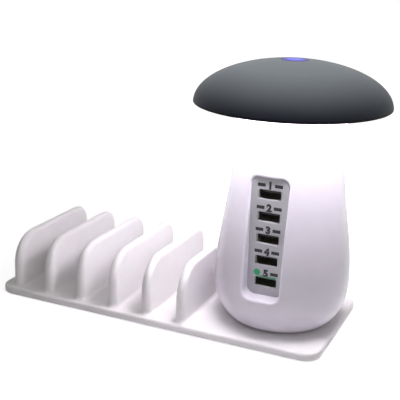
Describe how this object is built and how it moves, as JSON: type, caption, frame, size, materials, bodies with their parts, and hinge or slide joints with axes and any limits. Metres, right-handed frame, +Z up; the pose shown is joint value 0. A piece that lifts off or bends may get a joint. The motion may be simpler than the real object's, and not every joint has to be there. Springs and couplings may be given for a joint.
{
  "type": "desktop usb charging station",
  "caption": "Tower charger with a domed cap, a recessed column of USB sockets and a lit cap underside, on a plate with upright dividers for phones and tablets.",
  "frame": {"origin": "under the middle of the whole object's box, on the surface it stands on", "axes": "+X towards the tower's end of the plate, +Y towards the back, +Z up; the sockets face -Y"},
  "size_m": [0.231, 0.112, 0.1591],
  "materials": {
    "rack_plastic": "satin moulded ABS",
    "foot_rubber": "matt rubber",
    "tower_plastic": "satin moulded ABS",
    "cover_plastic": "matt moulded ABS",
    "panel_plastic": "matt silver-grey plate",
    "socket_steel": "nickel-plated steel sheet",
    "socket_insulator": "black moulded nylon",
    "marked_insulator": "green moulded nylon of the fast socket",
    "contact_gold": "gold-plated bronze",
    "board_laminate": "glass-fibre board with green lacquer",
    "ring_laminate": "board with white lacquer",
    "black_plastic": "black moulded plastic",
    "pin_metal": "nickel-plated brass",
    "fuse_glass": "glass tube in clips",
    "capacitor_sleeve": "shrunk plastic sleeve on aluminium",
    "ferrite": "pressed ferrite",
    "winding": "taped copper winding",
    "sink_aluminium": "extruded aluminium",
    "choke_copper": "enamelled copper on a ferrite ring",
    "frame_plastic": "white moulded ABS",
    "chip_phosphor": "yellow phosphor under resin",
    "opal_plastic": "opal diffusing plastic",
    "cap_plastic": "satin dark grey moulded ABS",
    "lens_plastic": "translucent plastic lit violet-blue",
    "spring_steel": "plated spring wire",
    "light_resin": "clear resin over a blue chip",
    "lead_sleeve": "red insulated wire",
    "screw_steel": "zinc-plated steel"
  },
  "bodies": {
    "root": {"rack": "rack_plastic", "foot_1": "foot_rubber", "foot_2": "foot_rubber", "foot_3": "foot_rubber", "foot_4": "foot_rubber", "body_shell": "tower_plastic", "base_cover": "cover_plastic", "port_panel": "panel_plastic", "usb_shell_1": "socket_steel", "usb_shell_2": "socket_steel", "usb_shell_3": "socket_steel", "usb_shell_4": "socket_steel", "usb_shell_5": "socket_steel", "usb_tongue_1": "socket_insulator", "usb_tongue_2": "socket_insulator", "usb_tongue_3": "socket_insulator", "usb_tongue_4": "socket_insulator", "usb_tongue_5": "marked_insulator", "usb_contacts_1": "contact_gold", "usb_contacts_2": "contact_gold", "usb_contacts_3": "contact_gold", "usb_contacts_4": "contact_gold", "usb_contacts_5": "contact_gold", "socket_board": "board_laminate", "mains_board": "board_laminate", "control_board": "board_laminate", "ring_board": "ring_laminate", "board_header": "black_plastic", "ac_inlet": "black_plastic", "bridge_rectifier": "black_plastic", "output_capacitors": "black_plastic", "ring_leads": "black_plastic", "inlet_pins": "pin_metal", "fuse": "fuse_glass", "smoothing_capacitor": "capacitor_sleeve", "transformer_core": "ferrite", "transformer_bobbin": "winding", "heat_sink": "sink_aluminium", "choke": "choke_copper", "lamp_frame": "frame_plastic", "light_chips": "chip_phosphor", "diffuser": "opal_plastic", "cap_shell": "cap_plastic", "touch_lens": "lens_plastic", "touch_spring": "spring_steel", "touch_light": "light_resin", "lamp_leads": "lead_sleeve", "rack_screws": "screw_steel", "cover_screws": "screw_steel", "mains_screws": "screw_steel", "socket_screws": "screw_steel", "frame_screws": "screw_steel"}
  },
  "joints": []
}
